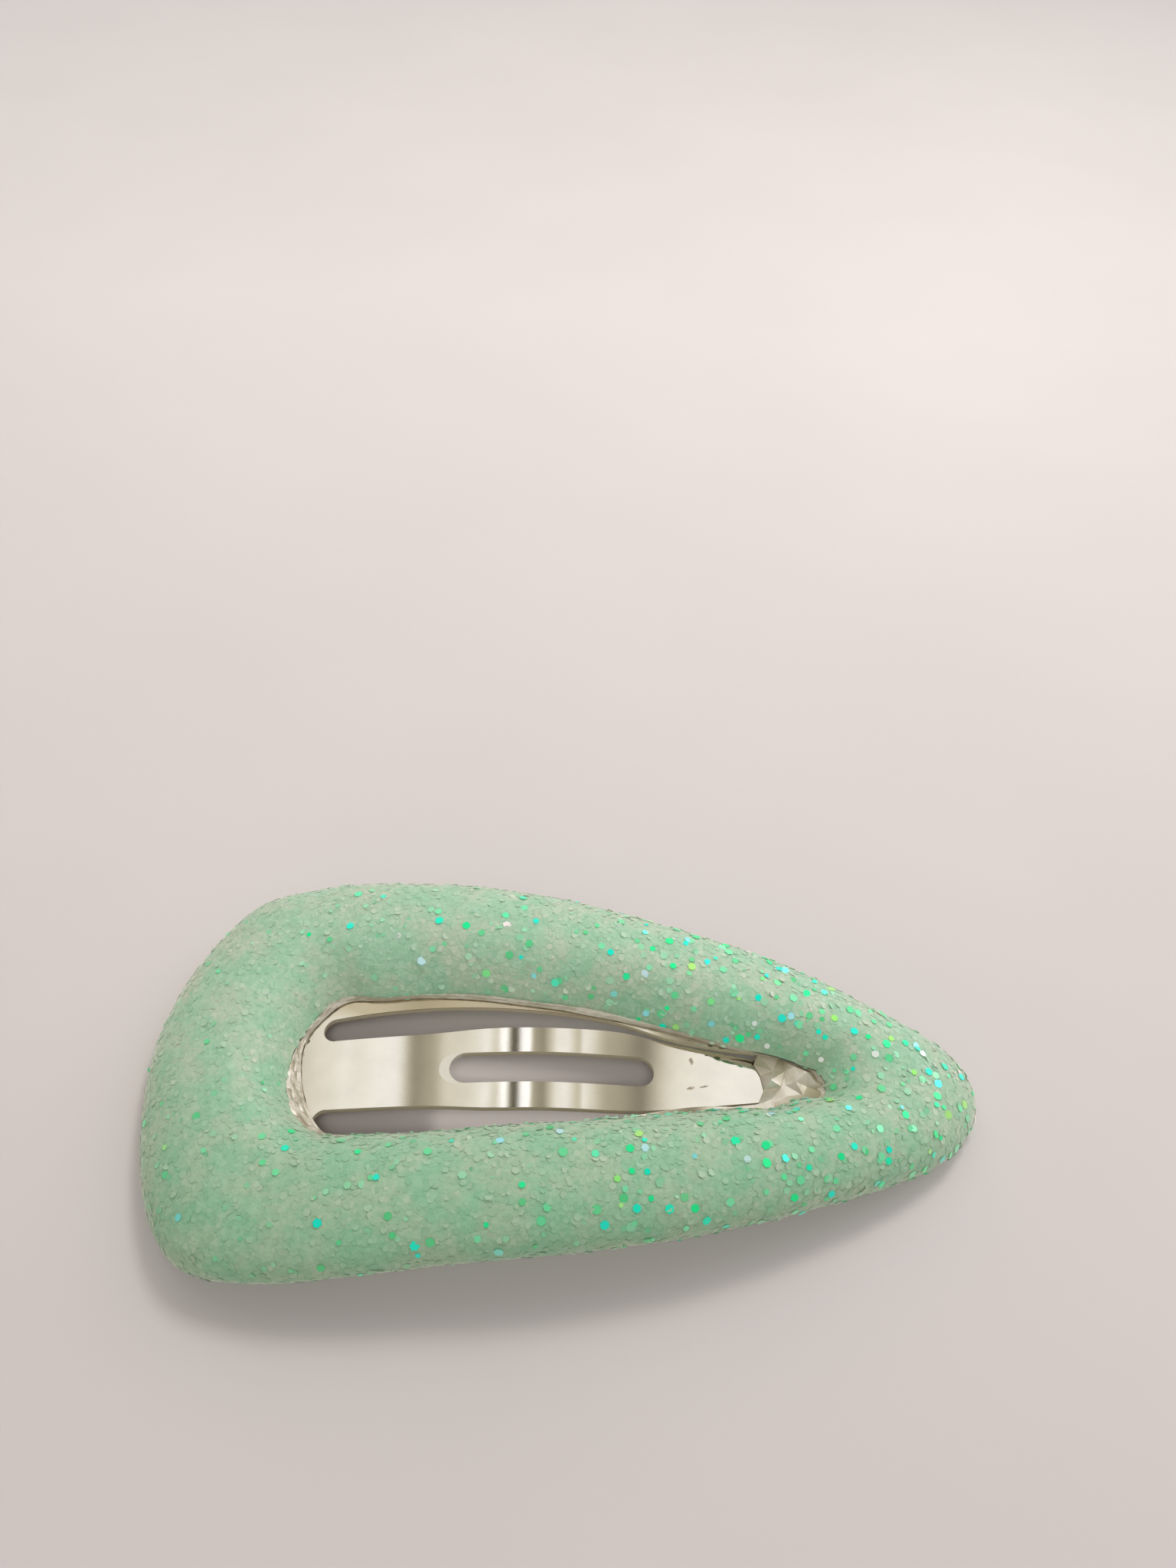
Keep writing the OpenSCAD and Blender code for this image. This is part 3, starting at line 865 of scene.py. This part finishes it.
# Its foot under the cloth. Columns: place across the roll, height over the steel sheet's middle.
RIM_FOOT = [(0.985, 0.33), (0.93, 0.31)]
RIM_T = 0.12
RIM_CLEAR = 0.02           # least gap over the steel
RIM_TONE = 0.85            # from 0 at its darkest to 1 at its palest
EDGE_CLEAR = 0.16          # gap under the cloth's edge
# Its crinkles: heights of the waves and the creases, and how many there are in a millimetre. The waves
# differ from fold to fold by a step in the noise, and the creases run through all the folds.
WAVE_H, WAVES, WAVE_STEP = 0.13, 1.6, 5
CREASE_H, CREASES, CREASE_LEVEL = 0.04, 1.1, 9
# They are lower along the sides: from where, over what length, and by what share.
SIDE_X, SIDE_SPAN, SIDE_CALM = 13, 4, 0.6
# The crumpled sheet at the window's tip. Columns: x, y, height over the steel sheet's middle, tone. The tones
# paint the facets' light and shade, and the darkest points are painted shadow. The first row of four is its
# edge toward the pad.
TIP_POINTS = [
    (44.84, 1.76, -0.27, 0.5), (45.3, 0.9, -0.27, 0.8), (45.5, -0.22, -0.27, 0.9), (44.8, -1.77, -0.25, 0.8),
    (46.3, 2.1, 0.45, 0.5), (46.2, 1.2, 0.15, 0.8), (45.95, 0.3, 0.42, 1.0), (46.0, -1.1, 0.35, 1.0),
    (46.9, 1.9, 0.70, 0.0), (47.0, 1.1, 0.40, 0.5), (46.7, -0.1, 0.30, 0.7), (47.8, 1.5, 0.72, 0.75),
    (47.8, 0.3, 0.62, 0.9), (48.3, -0.6, 0.40, 0.6), (48.7, 1.15, 0.80, 0.9), (48.7, 0.1, 0.45, 0.6),
    (49.3, 0.4, 0.66, 0.85), (49.6, 0.9, 0.40, 0.0)]
TIP_START = 44.7           # place where the rim starts to flatten into the sheet
TIP_SPAN = 2               # and the length over which it does
TIP_EVERY = 9              # stations of the window's edge between the sheet's outer corners
TIP_DIPS = (0.05, 0.5)     # how far those corners lie under the cloth's edge
TIP_TONES = (0.1, 0.6)     # and their tones
TIP_T = 0.08


def edge_z(x, far):
    """Height of the sheet metal's edge under the cloth's edge."""
    return cover_z(x) + LIP_Z - FAR_LIP_DROP * far - EDGE_CLEAR


def fold_row(place, height, share, tip):
    """Points and heights of one fold of the rim. Tip is 1 where it has run into the crumpled sheet."""
    points = window_line + place * (rim_line - window_line)
    wave = [noise.noise(Vector((x * WAVES, y * WAVES, WAVE_STEP * place))) for x, y in points]
    crease = [noise.noise(Vector((x * CREASES, y * CREASES, CREASE_LEVEL))) for x, y in points]
    calm = (1 - tip) * (1 - SIDE_CALM * share_past(window_line[:, 0], SIDE_X, SIDE_SPAN))
    crinkle = (CREASE_H * share * np.sign(crease) + WAVE_H * np.array(wave)) * calm
    steel, least = steel_z(points), STEEL_T / 2 + RIM_CLEAR
    z = steel + (height - RIM_T) * (1 - tip) + least * tip + crinkle
    return points, np.maximum(z, steel + least)


def make_rim():
    """The crinkled strip that lines the window, with the crumpled sheet at its tip."""
    tip = share_past(window_line[:, 0] / K, TIP_START, TIP_SPAN)
    rows = [fold_row(*fold, tip) for fold in RIM_FOLDS]
    rows.append((window_line, edge_z(window_line[:, 0], far_share) - RIM_T))
    rows += [(across(place), steel_z(across(place)) + height) for place, height in RIM_FOOT]
    under = [np.column_stack([points, z]) for points, z in rows]
    top = [row + [0, 0, RIM_T] for row in under]
    grid = np.stack(top + under[::-1], axis=1)
    points, faces, tones_and_shades = add_tip_sheet(grid.reshape(-1, 3), ring_faces(*grid.shape[:2]))
    piece = new_object("crimped_rim", placed(points), faces, smooth=False)
    piece.data.attributes.new("tone_and_shade", "FLOAT", "POINT").data.foreach_set("value", tones_and_shades)
    piece.data.materials.append(crimped_sheet())
    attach(piece, "clip_frame")
    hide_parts("window_rim")


def add_tip_sheet(points, faces):
    """The ring's points and faces with the crumpled sheet added, thin and closed, and each point's tone,
    which on the sheet is painted light and shade.
    """
    rng = np.random.default_rng(3)
    stations = [i for i in range(0, STATIONS, TIP_EVERY) if window_line[i, 0] > K * TIP_START]
    outer = window_line[stations]
    dips = rng.uniform(*TIP_DIPS, len(stations))
    outer_z = edge_z(outer[:, 0], far_share[stations]) - dips
    inner = np.array(TIP_POINTS) * [K, K, 1, 1]
    plan = np.concatenate([outer, inner[:, :2]])
    height = np.concatenate([outer_z, steel_z(inner) + inner[:, 2]])
    tone_and_shade = np.concatenate([rng.uniform(*TIP_TONES, len(stations)), inner[:, 3]])
    cells = delaunay_2d_cdt([Vector(p) for p in plan], [], [], 0, 1e-6)[2]
    left = inner[3::-1]
    middles = [np.mean(plan[cell], axis=0) for cell in cells]
    cells = [cell for cell, (x, y) in zip(cells, middles) if x > np.interp(y, left[:, 1], left[:, 0])]
    sides = [side for cell in cells for side in zip(cell, cell[1:] + cell[:1])]
    top, base = len(points), len(points) + len(plan)
    made = [[top + v for v in cell] for cell in cells] + [[base + v for v in cell[::-1]] for cell in cells]
    made += [[top + b, top + a, base + a, base + b] for a, b in sides if (b, a) not in sides]
    sheet = np.column_stack([plan, height])
    tones_and_shades = np.concatenate([np.full(len(points), RIM_TONE), tone_and_shade, tone_and_shade])
    return np.concatenate([points, sheet, sheet - [0, 0, TIP_T]]), faces + made, tones_and_shades


def dress_rivet():
    """A bright clouded steel on the rivet, whose form stays as it is."""
    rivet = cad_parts["tip_rivet"]
    made, tree, shader = material("rivet_steel")
    cloud = noise_value(tree, object_place(tree), 1800, 3)
    base = ramp(tree, cloud, [(0.35, linear(190, 184, 170)), (0.65, linear(220, 214, 200))])
    tree.links.new(base, shader.inputs["Base Color"])
    shader.inputs["Metallic"].default_value = 1.0
    shader.inputs["Roughness"].default_value = 0.25
    rivet.data.materials.clear()
    rivet.data.materials.append(made)


# The studio's sky. The steel shows what lies beyond it, so soft panels stand at the back, to the left and
# right of a darker strip. Columns: sine of the angle to the right of straight back, brightness.
SKY_LEFT = [
    (-1, 0.4), (-0.6, 0.5), (-0.5, 0.93), (-0.47, 0.98), (-0.425, 1.08), (-0.41, 1.02), (-0.39, 1.06),
    (-0.345, 1.14), (-0.336, 1.03), (-0.326, 0.6), (-0.315, 0.36), (-0.308, 0.38), (-0.275, 0.56),
    (-0.265, 0.84), (-0.22, 0.94), (-0.186, 1.12), (-0.172, 0.8), (-0.161, 0.84), (-0.157, 1.5),
    (-0.145, 1.5), (-0.137, 0.9), (-0.128, 0.16), (-0.109, 0.15), (-0.103, 0.4), (-0.096, 1.35),
    (-0.057, 1.45), (-0.047, 0.9), (-0.03, 0.5), (0, 0.42)]
SKY_RIGHT = [
    (0, 0.4), (0.03, 0.38), (0.067, 0.72), (0.085, 1.05), (0.12, 1.1), (0.147, 0.8), (0.158, 0.68),
    (0.178, 0.85), (0.188, 1.12), (0.197, 1.02), (0.206, 0.78), (0.223, 0.54), (0.256, 0.46), (0.283, 0.31),
    (0.297, 0.33), (0.312, 0.74), (0.327, 1.0), (0.35, 1.08), (0.38, 1.1), (0.5, 1.1), (0.62, 1.7), (1, 1.7)]
SKY_TOP = 0.3
SKY_FRONT = 0.55
SKY_TINT = (1.0, 0.99, 0.985)
# Where the front turns into the top, and the top into the panels: sines of the angle toward the back.
FRONT_TO_TOP = (-0.55, -0.15)
TOP_TO_BACK = (0.05, 0.3)


def sky_tone(value):
    """The panels are neutral where they are bright and tan where they are dark."""
    share = min(value, 1.2)
    return value, value * (0.93 + 0.07 * share ** 2), value * (0.77 + 0.22 * share ** 3)


def make_world():
    world = bpy.data.worlds.new("studio")
    bpy.context.scene.world = world
    world.use_nodes = True
    tree = world.node_tree
    parts = xyz(tree, node(tree, "ShaderNodeTexCoord").outputs["Generated"])
    from_left = math_node(tree, "ADD", parts["X"], 1)
    left = ramp(tree, from_left, [(u + 1, sky_tone(value)) for u, value in SKY_LEFT])
    right = ramp(tree, parts["X"], [(u, sky_tone(value)) for u, value in SKY_RIGHT])
    panels = mix(tree, math_node(tree, "GREATER_THAN", parts["X"], 0), left, right)
    upward = share_between(tree, parts["Y"], *FRONT_TO_TOP, "SMOOTHSTEP")
    backward = share_between(tree, parts["Y"], *TOP_TO_BACK, "SMOOTHSTEP")
    sky = mix(tree, backward, mix(tree, upward, grey(SKY_FRONT), grey(SKY_TOP)), panels)
    tinted = mix(tree, 1.0, sky, SKY_TINT, "MULTIPLY")
    tree.links.new(tinted, tree.nodes["Background"].inputs["Color"])


# Columns: name, place in metres, size, watts, tint, whether it makes glints and nothing else. The other
# lights make none, so the steel doesn't mirror them.
LIGHTS = [("key", (0.09, 0.15, 0.31), 0.09, 0.38, (1.0, 0.985, 0.965), False),
          ("fill", (-0.006, -0.132, 0.254), 0.06, 0.15, (1, 1, 1), False),
          ("sparkle_back", (0.12, 0.34, 0.14), 0.04, 0.08, (1, 1, 1), True),
          ("sparkle_right", (0.28, 0.10, 0.22), 0.03, 0.05, (1, 1, 1), True)]


def area_light(name, place, size, watts, tint, glints):
    light = bpy.data.lights.new(name, "AREA")
    light.size = size
    light.energy = watts
    light.color = tint
    made = bpy.data.objects.new(name, light)
    made.location = place
    made.visible_glossy = glints
    made.visible_diffuse = not glints
    made.rotation_euler = (-Vector(place)).to_track_quat("-Z", "Y").to_euler()
    bpy.context.scene.collection.objects.link(made)


# The floor's colour is paler toward the back, a painted light falloff. In metres.
FLOOR_HALF = 1.5
FLOOR_NEAR, FLOOR_FAR = -0.06, 0.12


def make_floor():
    corners = [(x * FLOOR_HALF, y * FLOOR_HALF, 0) for x, y in ((-1, -1), (1, -1), (1, 1), (-1, 1))]
    floor = new_object("floor", corners, [(0, 1, 2, 3)], smooth=False)
    made, tree, shader = material("floor")
    where = object_place(tree)
    # Painted light: the floor's colour brightens toward the back.
    painted_light_share = share_between(tree, xyz(tree, where)["Y"], FLOOR_NEAR, FLOOR_FAR)
    base = ramp(tree, painted_light_share, [(0.0, linear(201, 192, 188)), (0.33, linear(213, 204, 200)),
                                (1.0, linear(238, 229, 224))])
    cloud = ramp(tree, noise_value(tree, where, 30, 3), [(0.3, grey(0.97)), (0.7, grey(1.0))])
    tree.links.new(mix(tree, 1.0, base, cloud, "MULTIPLY"), shader.inputs["Base Color"])
    shader.inputs["Roughness"].default_value = 0.6
    shader.inputs["Specular IOR Level"].default_value = 0.2
    bump(tree, shader, noise_value(tree, where, 2500, 3), 0.03, 0.0001)
    floor.data.materials.append(made)


# The camera's place in millimetres, and its right and up directions, in the clip's frame.
CAMERA_AT = (-1.93, -44.00, 84.59)
CAMERA_RIGHT = (0.99849, 0.01695, 0.05222)
CAMERA_UP = (-0.04749, 0.74381, 0.66671)
CAMERA_LENS = 28.19
CAMERA_CLIP = 0.005        # the least distance that it sees, in metres


def make_camera():
    data = bpy.data.cameras.new("camera")
    data.lens = CAMERA_LENS
    data.clip_start = CAMERA_CLIP
    camera = bpy.data.objects.new("camera", data)
    right, up = Vector(CAMERA_RIGHT).normalized(), Vector(CAMERA_UP).normalized()
    turn = Matrix((right, up, right.cross(up))).transposed().to_4x4()
    camera.matrix_world = Matrix.Translation(Vector(CAMERA_AT) * MM) @ turn
    bpy.context.scene.collection.objects.link(camera)
    bpy.context.scene.camera = camera


bpy.context.scene.view_settings.view_transform = "Standard"
make_flakes(*make_cover())
make_frame()
make_tongue()
make_rim()
dress_rivet()
make_world()
for row in LIGHTS:
    area_light(*row)
make_floor()
make_camera()
